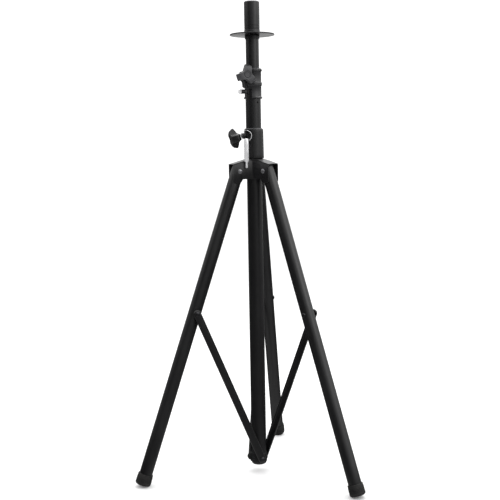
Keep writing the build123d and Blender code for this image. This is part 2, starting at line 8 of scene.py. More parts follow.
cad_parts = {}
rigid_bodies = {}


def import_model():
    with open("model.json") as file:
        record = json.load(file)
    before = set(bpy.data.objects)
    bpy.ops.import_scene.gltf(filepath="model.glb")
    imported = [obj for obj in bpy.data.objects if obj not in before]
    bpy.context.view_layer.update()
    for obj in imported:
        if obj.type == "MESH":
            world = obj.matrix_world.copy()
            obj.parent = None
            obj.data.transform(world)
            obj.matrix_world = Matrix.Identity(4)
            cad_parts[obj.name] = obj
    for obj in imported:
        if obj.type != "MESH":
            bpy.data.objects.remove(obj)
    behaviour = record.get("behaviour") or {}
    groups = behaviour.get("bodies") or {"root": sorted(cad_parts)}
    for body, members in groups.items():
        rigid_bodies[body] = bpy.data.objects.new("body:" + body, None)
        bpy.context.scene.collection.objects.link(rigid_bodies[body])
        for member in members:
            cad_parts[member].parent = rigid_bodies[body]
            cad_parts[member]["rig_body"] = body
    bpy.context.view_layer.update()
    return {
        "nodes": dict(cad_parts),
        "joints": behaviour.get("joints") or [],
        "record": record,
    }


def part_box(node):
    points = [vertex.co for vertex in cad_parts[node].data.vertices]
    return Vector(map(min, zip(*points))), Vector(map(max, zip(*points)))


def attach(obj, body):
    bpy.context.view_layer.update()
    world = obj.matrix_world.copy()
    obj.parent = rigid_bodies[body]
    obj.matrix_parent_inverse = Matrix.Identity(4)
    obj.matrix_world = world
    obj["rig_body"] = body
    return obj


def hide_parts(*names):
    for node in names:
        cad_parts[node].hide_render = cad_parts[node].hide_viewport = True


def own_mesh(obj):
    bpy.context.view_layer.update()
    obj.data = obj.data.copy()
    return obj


# Looks of a speaker tripod stand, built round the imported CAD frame.
# Pieces are drawn in millimetres in a place of their own, and put into the frame in metres.

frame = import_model()
nodes = frame["nodes"]
joints = {joint["name"]: joint for joint in frame["joints"]}
slots = {part["node"]: part["material_slot"] for part in frame["record"]["subparts"]}
scene = bpy.context.scene

MM = 0.001
UP = Vector((0, 0, 1))
LEGS = ("rear", "left", "right")
ROUND = 96  # points round a tube
SMALL_ROUND = 48  # points round a bolt head


# ---------------------------------------------------------------- places

def place(origin, z, x):
    """A frame with its Z along z and its X as near as can be to x."""
    z = Vector(z).normalized()
    x = Vector(x)
    x = (x - x.dot(z) * z).normalized()
    turn = Matrix((x, z.cross(x), z)).transposed().to_4x4()
    return Matrix.Translation(Vector(origin)) @ turn


def measure(node, where):
    """The lowest and highest corner of a CAD node in a place, in millimetres."""
    into = where.inverted()
    points = [into @ v.co / MM for v in nodes[node].data.vertices]
    low = Vector([min(p[i] for p in points) for i in range(3)])
    high = Vector([max(p[i] for p in points) for i in range(3)])
    return low, high


def joint_point(name):
    return Vector(joints[name]["pos_m"])


def joint_axis(name):
    return Vector(joints[name]["axis"])


def joint_place(name, x=UP):
    return place(joint_point(name), joint_axis(name), x)


tube_low, tube_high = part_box("main_tube")
axis = Vector(((tube_low.x + tube_high.x) / 2, (tube_low.y + tube_high.y) / 2, 0))
column = place(axis, UP, (1, 0, 0))


# ---------------------------------------------------------------- outlines and meshes

def rounded(corners, radius, closed=True, steps=4):
    """An outline with its corners rounded; a corner may give its own radius as a third number."""
    made = []
    count = len(corners)
    for i, corner in enumerate(corners):
        here = Vector(corner[:2])
        wanted = corner[2] if len(corner) > 2 else radius
        if wanted == 0 or (not closed and i in (0, count - 1)):
            made.append(tuple(here))
            continue
        back = Vector(corners[i - 1][:2]) - here
        ahead = Vector(corners[(i + 1) % count][:2]) - here
        reach = min(wanted / max(tan(back.angle(ahead) / 2), 0.2), 0.48 * back.length, 0.48 * ahead.length)
        first = here + back.normalized() * reach
        last = here + ahead.normalized() * reach
        for k in range(steps + 1):
            t = k / steps
            made.append(tuple(first * (1 - t) ** 2 + here * 2 * t * (1 - t) + last * t * t))
    return made


def skin(loops, joined=False):
    """A surface through loops of points, capped at both ends or joined end to end."""
    bm = bmesh.new()
    made = [[bm.verts.new(p) for p in loop] for loop in loops]
    pairs = list(zip(made, made[1:]))
    if joined:
        pairs.append((made[-1], made[0]))
    for a, b in pairs:
        for i in range(len(a)):
            k = (i + 1) % len(a)
            bm.faces.new((a[i], a[k], b[k], b[i]))
    if not joined:
        bm.faces.new(list(reversed(made[0])))
        bm.faces.new(made[-1])
    return bm


def turned(profile, hollow=True, around=ROUND, shape=None):
    """A body turned about Z from (radius, height) points; shape scales the radius by angle and height."""
    loops = []
    for r, z in profile:
        loop = []
        for i in range(around):
            a = 2 * pi * i / around
            reach = max(r, 0.02) if shape is None else max(shape(r, a, z), 0.02)
            loop.append((reach * cos(a), reach * sin(a), z))
        loops.append(loop)
    return skin(loops, joined=hollow)


def pipe(outer, bore, bottom, top, edge):
    corners = [(bore, bottom), (outer, bottom), (outer, top), (bore, top)]
    return turned(rounded(corners, edge))


def plate(outlines, thickness, edge):
    """A flat plate on Z from 0 to its thickness, with round edges; later outlines are holes."""
    curve = bpy.data.curves.new("outline", "CURVE")
    curve.dimensions = "2D"
    curve.fill_mode = "BOTH"
    curve.extrude = thickness / 2 - edge
    curve.bevel_depth = edge
    curve.bevel_resolution = 2
    curve.offset = -edge
    for outline in outlines:
        spline = curve.splines.new("POLY")
        spline.points.add(len(outline) - 1)
        for point, (x, y) in zip(spline.points, outline):
            point.co = (x, y, 0, 1)
        spline.use_cyclic_u = True
    maker = bpy.data.objects.new("outline", curve)
    mesh = bpy.data.meshes.new_from_object(maker)
    bm = bmesh.new()
    bm.from_mesh(mesh)
    bpy.data.objects.remove(maker)
    bpy.data.meshes.remove(mesh)
    bmesh.ops.remove_doubles(bm, verts=bm.verts, dist=0.002)
    bmesh.ops.translate(bm, verts=bm.verts, vec=(0, 0, thickness / 2))
    return bm


def circle(radius, count):
    return [(radius * cos(2 * pi * i / count), radius * sin(2 * pi * i / count)) for i in range(count)]


def wire(path, radius, sides):
    """A round wire along a path."""
    points = [Vector(p) for p in path]
    normal = (points[1] - points[0]).normalized().orthogonal()
    loops = []
    for i, point in enumerate(points):
        along = (points[min(i + 1, len(points) - 1)] - points[max(i - 1, 0)]).normalized()
        normal = (normal - normal.dot(along) * along).normalized()
        side = along.cross(normal)
        loops.append([point + radius * (cos(a) * normal + sin(a) * side)
                      for a in (2 * pi * k / sides for k in range(sides))])
    return skin(loops)


def moved(bm, where):
    bm.transform(where)
    return bm


def raised(height):
    return Matrix.Translation((0, 0, height))


def together(*meshes):
    """Several meshes as the separate shells of one."""
    whole = bmesh.new()
    for bm in meshes:
        mesh = bpy.data.meshes.new("shell")
        bm.to_mesh(mesh)
        bm.free()
        whole.from_mesh(mesh)
        bpy.data.meshes.remove(mesh)
    return whole


def carved(bm, cutters, operation="DIFFERENCE"):
    """A mesh with others cut from it, or added to it."""
    body_mesh = bpy.data.meshes.new("body")
    bmesh.ops.recalc_face_normals(bm, faces=bm.faces)
    bm.to_mesh(body_mesh)
    bm.free()
    target = bpy.data.objects.new("body", body_mesh)
    scene.collection.objects.link(target)
    tools = []
    for cutter in cutters:
        mesh = bpy.data.meshes.new("cutter")
        bmesh.ops.recalc_face_normals(cutter, faces=cutter.faces)
        cutter.to_mesh(mesh)
        cutter.free()
        tool = bpy.data.objects.new("cutter", mesh)
        scene.collection.objects.link(tool)
        modifier = target.modifiers.new("cut", "BOOLEAN")
        modifier.operation = operation
        modifier.solver = "EXACT"
        modifier.object = tool
        tools.append(tool)
    graph = bpy.context.evaluated_depsgraph_get()
    result = bpy.data.meshes.new_from_object(target.evaluated_get(graph))
    made = bmesh.new()
    made.from_mesh(result)
    for thing in [target, *tools]:
        bpy.data.objects.remove(thing)
    bpy.data.meshes.remove(result)
    return made


def add(name, bm, where, *replaced, smooth=40):
    """Puts a mesh in its place, with the finish and on the body of the CAD nodes it stands for."""
    bmesh.ops.recalc_face_normals(bm, faces=bm.faces)
    bm.transform(where @ Matrix.Scale(MM, 4))
    mesh = bpy.data.meshes.new(name)
    bm.to_mesh(mesh)
    bm.free()
    mesh.shade_smooth()
    mesh.set_sharp_from_angle(angle=radians(smooth))
    mesh.materials.append(materials[slots[replaced[0]]])
    piece = bpy.data.objects.new(name, mesh)
    scene.collection.objects.link(piece)
    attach(piece, nodes[replaced[0]]["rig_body"])
    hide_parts(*replaced)
    return piece


# ---------------------------------------------------------------- materials

NOISE_ROUGHNESS = 0.55
TOOL_MARKS = (1, 1, 0.1)  # stretches noise along Z

class Finish:
    """Builds one procedural surface: colour variation, uneven gloss, relief and worn edges."""

    def __init__(self, name, metallic=0.0, specular=0.5):
        self.material = bpy.data.materials.new(name)
        self.material.use_nodes = True
        self.tree = self.material.node_tree
        self.shader = self.tree.nodes["Principled BSDF"]
        self.shader.inputs["Metallic"].default_value = metallic
        self.shader.inputs["Specular IOR Level"].default_value = specular
        self.place = self.node("ShaderNodeTexCoord").outputs["Object"]
        self.height = None

    def node(self, kind, **settings):
        made = self.tree.nodes.new(kind)
        for key, value in settings.items():
            setattr(made, key, value)
        return made

    def link(self, output, target):
        self.tree.links.new(output, target)

    def noise(self, scale, detail=3.0, stretch=(1, 1, 1)):
        mapping = self.node("ShaderNodeMapping")
        mapping.inputs["Scale"].default_value = stretch
        self.link(self.place, mapping.inputs["Vector"])
        made = self.node("ShaderNodeTexNoise")
        made.inputs["Scale"].default_value = scale
        made.inputs["Detail"].default_value = detail
        made.inputs["Roughness"].default_value = NOISE_ROUGHNESS
        self.link(mapping.outputs["Vector"], made.inputs["Vector"])
        return made.outputs["Fac"]

    def spread(self, value, low, high, from_low=0.3, from_high=0.7):
        made = self.node("ShaderNodeMapRange")
        made.inputs["From Min"].default_value = from_low
        made.inputs["From Max"].default_value = from_high
        made.inputs["To Min"].default_value = low
        made.inputs["To Max"].default_value = high
        self.link(value, made.inputs["Value"])
        return made.outputs["Result"]

    def blend(self, amount, first, second):
        made = self.node("ShaderNodeMix", data_type="RGBA")
        self.link(amount, made.inputs["Factor"])
        for value, socket in ((first, made.inputs[6]), (second, made.inputs[7])):
            if isinstance(value, tuple):
                socket.default_value = (*value, 1)
            else:
                self.link(value, socket)
        return made.outputs[2]

    def edges(self):
        """1 on the outer edges of a shape, broken up so that wear isn't even."""
        pointiness = self.node("ShaderNodeNewGeometry").outputs["Pointiness"]
        pointed = self.spread(pointiness, 0, 1, 0.53, 0.62)
        patchy = self.spread(self.noise(90.0), 0, 1, 0.42, 0.66)
        made = self.node("ShaderNodeMath", operation="MULTIPLY")
        self.link(pointed, made.inputs[0])
        self.link(patchy, made.inputs[1])
        return made.outputs[0]

    def colour(self, value):
        self.link(value, self.shader.inputs["Base Color"])

    def gloss(self, value):
        self.link(value, self.shader.inputs["Roughness"])

    def relief(self, value, depth, strength):
        """Adds bumps of a real depth, in metres."""
        made = self.node("ShaderNodeBump")
        made.inputs["Strength"].default_value = strength
        made.inputs["Distance"].default_value = depth
        self.link(value, made.inputs["Height"])
        if self.height is not None:
            self.link(self.height, made.inputs["Normal"])
        self.height = made.outputs["Normal"]
        self.link(self.height, self.shader.inputs["Normal"])


def powder_coat():
    """Satin black powder coat: fine orange peel, faint rubbed streaks and a little dust."""
    finish = Finish("powder_black", specular=0.5)
    patches = finish.spread(finish.noise(9.0), 0, 1)
    tone = finish.blend(patches, (0.0035, 0.0035, 0.004), (0.007, 0.007, 0.0075))
    dust = finish.spread(finish.noise(520.0, detail=5.0), 0, 0.35, 0.60, 0.82)
    finish.colour(finish.blend(dust, tone, (0.045, 0.045, 0.045)))
    rubbed = finish.noise(26.0, detail=4.0, stretch=(1, 1, 0.15))
    finish.gloss(finish.spread(rubbed, 0.28, 0.40))
    finish.relief(finish.noise(900.0, detail=2.0), 0.00012, 0.5)
    finish.relief(finish.noise(190.0, detail=1.0), 0.00010, 0.25)
    return finish.material


def cast_paint():
    """Painted casting of the clamp: slightly greyer and rougher than the tubes."""
    finish = Finish("clamp_plastic", specular=0.5)
    patches = finish.spread(finish.noise(22.0), 0, 1)
    tone = finish.blend(patches, (0.008, 0.008, 0.009), (0.014, 0.014, 0.015))
    finish.colour(finish.blend(finish.edges(), tone, (0.06, 0.06, 0.063)))
    finish.gloss(finish.spread(finish.noise(60.0, detail=4.0), 0.38, 0.52))
    finish.relief(finish.noise(700.0, detail=4.0), 0.00018, 0.55)
    return finish.material


def moulded(name, dark, light, rough=(0.45, 0.6), grain=900.0):
    """Moulded plastic with a fine spark-eroded grain and scuffed edges."""
    finish = Finish(name, specular=0.45)
    tone = finish.blend(finish.spread(finish.noise(30.0), 0, 1), dark, light)
    scuffed = tuple(min(1.0, 1.6 * value + 0.012) for value in light)
    finish.colour(finish.blend(finish.edges(), tone, scuffed))
    finish.gloss(finish.spread(finish.noise(80.0, detail=4.0), *rough))
    grainy = finish.node("ShaderNodeTexVoronoi")
    grainy.inputs["Scale"].default_value = grain
    finish.link(finish.place, grainy.inputs["Vector"])
    finish.relief(grainy.outputs["Distance"], 0.00015, 0.6)
    finish.relief(finish.noise(120.0, detail=2.0), 0.0002, 0.2)
    return finish.material


def rubber():
    """Dull rubber, dusty low down and scuffed where it meets the floor."""
    finish = Finish("foot_rubber", specular=0.35)
    patches = finish.spread(finish.noise(45.0, detail=5.0), 0, 1)
    tone = finish.blend(patches, (0.006, 0.006, 0.006), (0.012, 0.0115, 0.011))
    height = finish.node("ShaderNodeSeparateXYZ")
    finish.link(finish.place, height.inputs["Vector"])
    low = finish.spread(height.outputs["Z"], 1, 0, 0.0, 0.012)
    scuffs = finish.node("ShaderNodeMath", operation="MULTIPLY")
    finish.link(low, scuffs.inputs[0])
    finish.link(finish.spread(finish.noise(240.0, detail=5.0), 0, 0.8, 0.45, 0.65), scuffs.inputs[1])
    finish.colour(finish.blend(scuffs.outputs[0], tone, (0.045, 0.043, 0.040)))
    finish.gloss(finish.spread(finish.noise(150.0, detail=5.0), 0.6, 0.85))
    finish.relief(finish.noise(900.0, detail=5.0), 0.0002, 0.6)
    return finish.material


def plated(name, dark, light, rough, metallic=1.0):
    """Plated or machined metal with fine tool marks and cloudy patches."""
    finish = Finish(name, metallic=metallic)
    cloud = finish.spread(finish.noise(70.0, detail=4.0), 0, 1)
    finish.colour(finish.blend(cloud, dark, light))
    marks = finish.noise(900.0, detail=3.0, stretch=TOOL_MARKS)
    finish.gloss(finish.spread(marks, *rough))
    finish.relief(marks, 0.00004, 0.35)
    finish.relief(finish.noise(300.0, detail=2.0), 0.00005, 0.25)
    return finish.material


materials = {
    "powder_black": powder_coat(),
    "clamp_plastic": cast_paint(),
    "bush_plastic": moulded("bush_plastic", (0.040, 0.040, 0.043), (0.060, 0.060, 0.064)),
    "knob_grey": moulded("knob_grey", (0.034, 0.034, 0.036), (0.052, 0.052, 0.055), (0.36, 0.5), grain=700.0),
    "knob_black": moulded("knob_black", (0.003, 0.003, 0.0035), (0.006, 0.006, 0.0065), (0.34, 0.46)),
    "plug_plastic": moulded("plug_plastic", (0.012, 0.012, 0.013), (0.022, 0.022, 0.023)),
    "pin_cap_plastic": moulded("pin_cap_plastic", (0.30, 0.30, 0.31), (0.42, 0.42, 0.43)),
    "foot_rubber": rubber(),
    "zinc_steel": plated("zinc_steel", (0.17, 0.17, 0.18), (0.27, 0.27, 0.28), (0.28, 0.42), 0.85),
    "black_steel": plated("black_steel", (0.035, 0.035, 0.037), (0.07, 0.07, 0.075), (0.34, 0.48)),
    "bright_steel": plated("bright_steel", (0.62, 0.62, 0.63), (0.78, 0.78, 0.79), (0.22, 0.34), 0.45),
    "brass_pad": plated("brass_pad", (0.62, 0.44, 0.20), (0.78, 0.60, 0.32), (0.25, 0.4)),
}

for node_name, node in nodes.items():
    node.data.materials.clear()
    node.data.materials.append(materials[slots[node_name]])
    node.data.shade_smooth()
    node.data.set_sharp_from_angle(angle=radians(30))


# ---------------------------------------------------------------- sizes and helpers of the pieces

ARM_HALF = 18.0  # outside of a clevis, from its leg's plane
ARM_SHEET = 2.5
STAR_SLOPE = radians(17.0)
STAR_SHEET = 2.0
STAR_RING = 24.0  # the star plate's round middle
WEB_BOTTOM = 684.0
WEB_RISE = 9.0  # the web's lower edge is higher near the column
KNOB_TIP = 23.5
KNOB_TIP_HALF = 8.0
KNOB_VALLEY = 10.0
KNOB_CAP = 7.0
THREAD_PITCH = 1.25
THREAD_DEPTH = 0.45
THREAD_STEP = 0.2  # between the rings that draw a thread
EDGE = 0.3  # broken edges of bars and tubes
FIT = 0.05  # between still parts that are fitted together
SHANK_R = 3.0  # pivot bolts, brace bolts and rivets
SCREW_HOLE_R = 4.1  # the collar lock's screw hole
ALONG_X = Matrix.Rotation(pi / 2, 4, "Y")  # lays a body drawn on Z along X
ON_EDGE = Matrix.Rotation(pi / 2, 4, "X")  # stands a flat plate on its edge


def girth(node, where):
    """The least and greatest distance of a CAD node's surface from a place's Z axis."""
    into = where.inverted()
    reach = [hypot(*(into @ v.co / MM).to_2d()) for v in nodes[node].data.vertices]
    return min(reach), max(reach)


def bearing(vector):
    return degrees(atan2(vector[1], vector[0]))


def spoke(azimuth):
    """X runs outwards from the column, Y to the anticlockwise side and Z up."""
    return place(axis, UP, (cos(radians(azimuth)), sin(radians(azimuth)), 0))


def arc(x, y, radius, start, end, steps=8):
    """Points round a centre, from one angle to another in degrees."""
    turns = (radians(start + (end - start) * k / steps) for k in range(steps + 1))
    return [(x + radius * cos(a), y + radius * sin(a)) for a in turns]


def top_edge(radius, height, corner, steps=8):
    """A turned body's rounded upper rim."""
    return arc(radius - corner, height - corner, corner, 0, 90, steps)


def bottom_edge(radius, height, corner, steps=8):
    """A turned body's rounded lower rim."""
    return arc(radius - corner, height + corner, corner, 270, 360, steps)


def three_arms(angle, spin, end, half_width, hollow, squareness, sweep):
    """How far an outline reaches at an angle: three arms with flat ends between round hollows."""
    away = radians((degrees(angle) - 90 - spin + 60) % 120 - 60)
    tip = end / cos(away)
    side = half_width / max(abs(sin(away)), 0.05)
    arm = (tip ** -squareness + side ** -squareness) ** (-1 / squareness)
    return (arm ** sweep + hollow ** sweep) ** (1 / sweep)


def bar(radius, bottom, top, around=SMALL_ROUND):
    """A solid round bar on Z with broken edges."""
    corners = [(0, bottom), (radius, bottom), (radius, top), (0, top)]
    return turned(rounded(corners, EDGE, closed=False), hollow=False, around=around)


def dome(radius, base, height, around=SMALL_ROUND):
    """A domed screw head on Z: a short straight side under a round top."""
    side = base + 0.25 * height
    crown = [(radius * cos(a), side + (base + height - side) * sin(a))
             for a in (radians(9 * k) for k in range(11))]
    return turned([(0, base), (radius, base), *crown], hollow=False, around=around)


def hexagon(flat):
    """Cuts a turned body to six flats."""
    def shape(r, angle, height):
        turn = (angle + pi / 6) % (pi / 3) - pi / 6
        return min(r, flat / cos(turn))
    return shape


def thread(radius, bottom, top):
    """A screw thread on Z that runs out at both ends."""
    steps = int((top - bottom) / THREAD_STEP)
    heights = [bottom + (top - bottom) * k / steps for k in range(steps + 1)]

    def groove(r, angle, height):
        phase = (height / THREAD_PITCH - angle / (2 * pi)) % 1
        fade = max(0.0, min(1.0, height - bottom, top - height))
        return r - THREAD_DEPTH * (1 - fade + fade * abs(2 * phase - 1))

    rings = [(0, bottom), *((radius, height) for height in heights), (0, top)]
    return turned(rings, hollow=False, around=36, shape=groove)


def flipped(bm):
    return moved(bm, Matrix.Rotation(pi, 4, "X"))


def turned_to(azimuth):
    return Matrix.Rotation(radians(azimuth), 4, "Z")


leg_pivots = {leg: joint_point(f"{leg}_leg_pivot") for leg in LEGS}
brace_pivots = {leg: joint_point(f"{leg}_brace_pivot") for leg in LEGS}
leg_azimuths = {leg: bearing(leg_pivots[leg] - axis) for leg in LEGS}
clamp_azimuth = bearing(joints["plunger_pull"]["axis"])
clamp_spoke = spoke(clamp_azimuth)


# ---------------------------------------------------------------- column, pole and speaker pin

def drawn_tube(node, where):
    """A drawn tube with broken edges, in rings about 60 mm long."""
    bore, outer = girth(node, where)
    low, high = measure(node, where)
    rings = max(2, int((high.z - low.z) / 60))
    side = [(outer, low.z + (high.z - low.z) * k / rings) for k in range(1, rings)]
    return turned(bottom_edge(outer, low.z, EDGE, 3) + side + top_edge(outer, high.z, EDGE, 3)
                  + arc(bore + EDGE, high.z - EDGE, EDGE, 90, 180, 3)
                  + [(bore, z) for _, z in reversed(side)]
                  + arc(bore + EDGE, low.z + EDGE, EDGE, 180, 270, 3))


def make_main_tube():
    stop_azimuth, stop_height, stop_radius = 316, 866.0, 2.0
    drill = moved(bar(stop_radius, 5, 30, around=24), turned_to(stop_azimuth) @ raised(stop_height) @ ALONG_X)
    add("main_tube_drawn", carved(drawn_tube("main_tube", column), [drill]), column, "main_tube")


def make_column_plug():
    bore, outer = girth("main_tube", column)
    low, high = measure("column_end_plug", column)
    rim = measure("main_tube", column)[0].z
    profile = [(0, low.z + 0.6), (outer - 7, low.z + 0.6), (outer - 6, low.z)]
    profile += bottom_edge(outer, low.z, 4.5)
    profile += [(outer, rim - 0.3), (outer - 0.3, rim), (bore - FIT, rim), (bore - FIT, high.z), (0, high.z)]
    add("column_end_plug_moulded", turned(profile, hollow=False), column, "column_end_plug")


def make_pole():
    low, high = measure("speaker_flange", column)
    bore, rim = girth("speaker_flange", column)
    collar_low, collar_high = measure("flange_collar", column)
    sleeve_low, sleeve_high = measure("speaker_pin_sleeve", column)
    pin_r = girth("speaker_pin_sleeve", column)[1]
    disc_sheet = 2.5
    disc_top = low.z + disc_sheet
    boss_r = pin_r + 0.3
    flange = [(bore, low.z), (rim - 5, low.z), *bottom_edge(rim, low.z, 0.4, 3),
              *top_edge(rim, disc_top, 0.4, 3), (rim - 8, disc_top), (boss_r + 6, disc_top),
              *arc(boss_r + 1.8, disc_top + 1.8, 1.8, 270, 180, 5),
              *top_edge(boss_r, high.z, 0.9, 4), (bore, high.z)]
    add("speaker_flange_spun", turned(flange), column, "speaker_flange")

    inner, outer = girth("flange_collar", column)
    add("flange_collar_turned", pipe(outer, inner, collar_low.z, collar_high.z, 0.9), column, "flange_collar")

    groove = [sleeve_low.z + rise for rise in (2.0, 8.4)]
    sleeve = [(bore, sleeve_low.z), (pin_r - 0.3, sleeve_low.z), (pin_r, sleeve_low.z + 0.3)]
    for start in groove:
        sleeve += [(pin_r, start - 0.3), (pin_r - 0.5, start), (pin_r - 0.6, start + 0.4),
                   (pin_r - 0.5, start + 0.8), (pin_r, start + 1.1)]
    sleeve += [(pin_r, sleeve_low.z + 30), *top_edge(pin_r, sleeve_high.z, 1.4, 5),
               (bore, sleeve_high.z)]
    add("speaker_pin_sleeve_turned", turned(sleeve), column, "speaker_pin_sleeve")

    cap_low, cap_high = measure("speaker_pin_cap", column)
    seat = sleeve_high.z + FIT
    cap_r = 15.5
    crown = [(cap_r - cap_r * (k / 10) ** 1.5, seat + (cap_high.z - seat) * sin(pi / 2 * (0.25 + 0.075 * k)))
             for k in range(11)]
    cap = [(0, cap_low.z), (bore - 0.1, cap_low.z), (bore - 0.1, seat), (cap_r, seat), *crown]
    add("speaker_pin_cap_moulded", turned(cap, hollow=False), column, "speaker_pin_cap")

    add("inner_pole_drawn", carved(drawn_tube("inner_pole", column), pin_drills()), column, "inner_pole")


def pin_drills():
    """Cutters for the safety-pin holes through the inner pole."""
    count, first, pitch, radius, azimuth = 5, 330.0, 90.0, 2.6, 300
    through = turned_to(azimuth) @ ALONG_X
    return [moved(bar(radius, -20, 20, around=24), raised(first + pitch * k) @ through)
            for k in range(count)]


# ---------------------------------------------------------------- upper clamp

def make_clamp():
    washer = joint_place("upper_knob_turn", clamp_spoke.col[0].xyz)
    low, high = measure("upper_clamp_body", clamp_spoke)
    bore = girth("upper_clamp_body", column)[0]
    bolt = clamp_spoke.inverted() @ joint_point("upper_knob_turn") / MM
    ear_half = measure("clamp_washer", washer)[0].z - 0.1
    slit_half = 1.2
    wall_r, bead_r, lip_r = 19.2, 20.7, 21.2

    ring = [(bore, low.z), *bottom_edge(lip_r, low.z, 0.8, 4),
            (lip_r, low.z + 2.6), (wall_r + 0.3, low.z + 4.2), (wall_r, low.z + 4.8),
            (wall_r, low.z + 28.0), (wall_r + 0.3, low.z + 28.6),
            *arc(bead_r - 0.9, low.z + 30.2, 0.9, 315, 360, 3),
            *arc(bead_r - 0.9, low.z + 35.2, 0.9, 0, 45, 3),
            (wall_r + 0.3, low.z + 37.0), (wall_r, low.z + 37.8),
            (wall_r, high.z - 4.8), (wall_r + 0.3, high.z - 4.2), (lip_r, high.z - 2.8),
            *top_edge(lip_r, high.z, 0.8, 4), (bore, high.z)]
    ear_root, ear_foot, ear_edge = 18.0, 22.5, 0.8
    ear = rounded([(ear_root, bolt.z - 28), (ear_foot, bolt.z - 25, 3), (ear_foot + 1, bolt.z - 14, 5),
                   (high.x, bolt.z - 8, 5), (high.x, bolt.z + 10, 6), (ear_root, bolt.z + 10)],
                  ear_edge, steps=6)
    ears = [moved(plate([ear], ear_half - slit_half, ear_edge), Matrix.Translation((0, start, 0)) @ ON_EDGE)
            for start in (ear_half, -slit_half)]
    body = carved(turned(ring), ears, "UNION")
    block = bmesh.new()
    bmesh.ops.create_cube(block, size=1)
    slit_bottom, past_top = bolt.z - 34, 1
    slit_middle, slit_reach = 25, 24
    block.transform(Matrix.Translation((slit_middle, 0, (slit_bottom + high.z + past_top) / 2))
                    @ Matrix.Diagonal((slit_reach, 2 * slit_half, high.z + past_top - slit_bottom, 1)))
    body = carved(body, [block, skirt_window(low.z)])
    add("upper_clamp_casting", body, clamp_spoke, "upper_clamp_body", smooth=35)

    inner, outer = girth("upper_clamp_bush", column)
    bush_low, bush_high = measure("upper_clamp_bush", column)
    bush_r = bore - 1.6
    lip = [(inner, bush_low.z), (bush_r, bush_low.z), (bush_r, high.z + 0.1), (outer - 0.5, high.z + 0.1),
           *arc(outer - 0.7, high.z + 0.8, 0.7, 0, 45, 3), (outer - 1.4, bush_high.z - 0.2),
           (inner, bush_high.z)]
    add("upper_clamp_bush_moulded", turned(lip), column, "upper_clamp_bush")

    nut_low, nut_high = measure("clamp_nut", washer)
    inner, outer = girth("clamp_nut", washer)
    flat = outer * cos(pi / 6)
    nut = [(inner, nut_low.z), (flat - 0.3, nut_low.z), (outer, nut_low.z + 1.3), (outer, nut_high.z - 1.3),
           (flat - 0.3, nut_high.z), (inner, nut_high.z)]
    add("clamp_nut_pressed", turned(nut, around=72, shape=hexagon(flat)), washer, "clamp_nut", smooth=20)
    washer_low, washer_high = measure("clamp_washer", washer)
    inner, outer = girth("clamp_washer", washer)
    add("clamp_washer_pressed", pipe(outer, inner, washer_low.z, washer_high.z, 0.3), washer, "clamp_washer")
    make_knob("upper_knob", washer, 168)


def skirt_window(bottom):
    """The opening in the clamp's lower skirt, where the plunger stands on the column itself."""
    start, end = 185 - clamp_azimuth, 272 - clamp_azimuth
    height, reach = 21.5, 30
    outline = [(0, 0), *arc(0, 0, reach, start, end, 16)]
    return skin([[(x, y, bottom + z) for x, y in outline] for z in (-1, height)])


def make_plunger():
    low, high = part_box("plunger_barrel")
    where = place(axis + UP * ((low.z + high.z) / 2), joint_axis("plunger_pull"), UP)
    low, high = measure("plunger_barrel", where)
    outer = girth("plunger_barrel", where)[1]
    bore_r, groove_r = 2.1, outer - 0.4
    chamber_r, chamber_low, chamber_high = 3.7, high.z - 9.2, high.z - 2.0
    barrel = [(bore_r, low.z), (outer, low.z), (outer, low.z + 3.4), (groove_r, low.z + 3.8),
              (groove_r, low.z + 4.8), (outer, low.z + 5.2), *top_edge(outer, high.z, 0.6, 4),
              (bore_r, high.z), (bore_r, chamber_high), (chamber_r, chamber_high),
              (chamber_r, chamber_low), (bore_r, chamber_low)]
    add("plunger_barrel_turned", turned(barrel, around=SMALL_ROUND), where, "plunger_barrel")

    low, high = measure("plunger_cap", where)
    outer = girth("plunger_cap", where)[1]

    def knurl(r, angle, height):
        return r - 0.22 * (1 + cos(24 * angle)) * (low.z + 0.8 < height < high.z - 1.4)

    rings = [low.z + 0.8 + 0.25 * k for k in range(15)]
    cap = [(0, low.z), (outer - 0.5, low.z), (outer, low.z + 0.5),
           *((outer, z) for z in rings if z < high.z - 1.2),
           *top_edge(outer, high.z, 1.2, 5), (0, high.z - 0.2)]
    add("plunger_cap_knurled", turned(cap, hollow=False, around=144, shape=knurl), where, "plunger_cap")

    low, high = measure("plunger_pin", where)
    pin_r, shoulder_r, shoulder = 2.0, 3.4, low.z + 5.6
    add("plunger_pin_turned", together(bar(pin_r, low.z, high.z), bar(shoulder_r, low.z + 4.1, shoulder)),
        where, "plunger_pin")

    turns, steps, coil_r, wire_r = 4.2, 100, 2.8, 0.35
    coil = [(coil_r * cos(a), coil_r * sin(a), shoulder + 0.6 + a / (2 * pi))
            for a in (2 * pi * turns * k / steps for k in range(steps + 1))]
    spring = add("plunger_spring_coiled", wire(coil, wire_r, sides=8), where, "plunger_spring")
    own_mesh(spring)


# ---------------------------------------------------------------- knobs

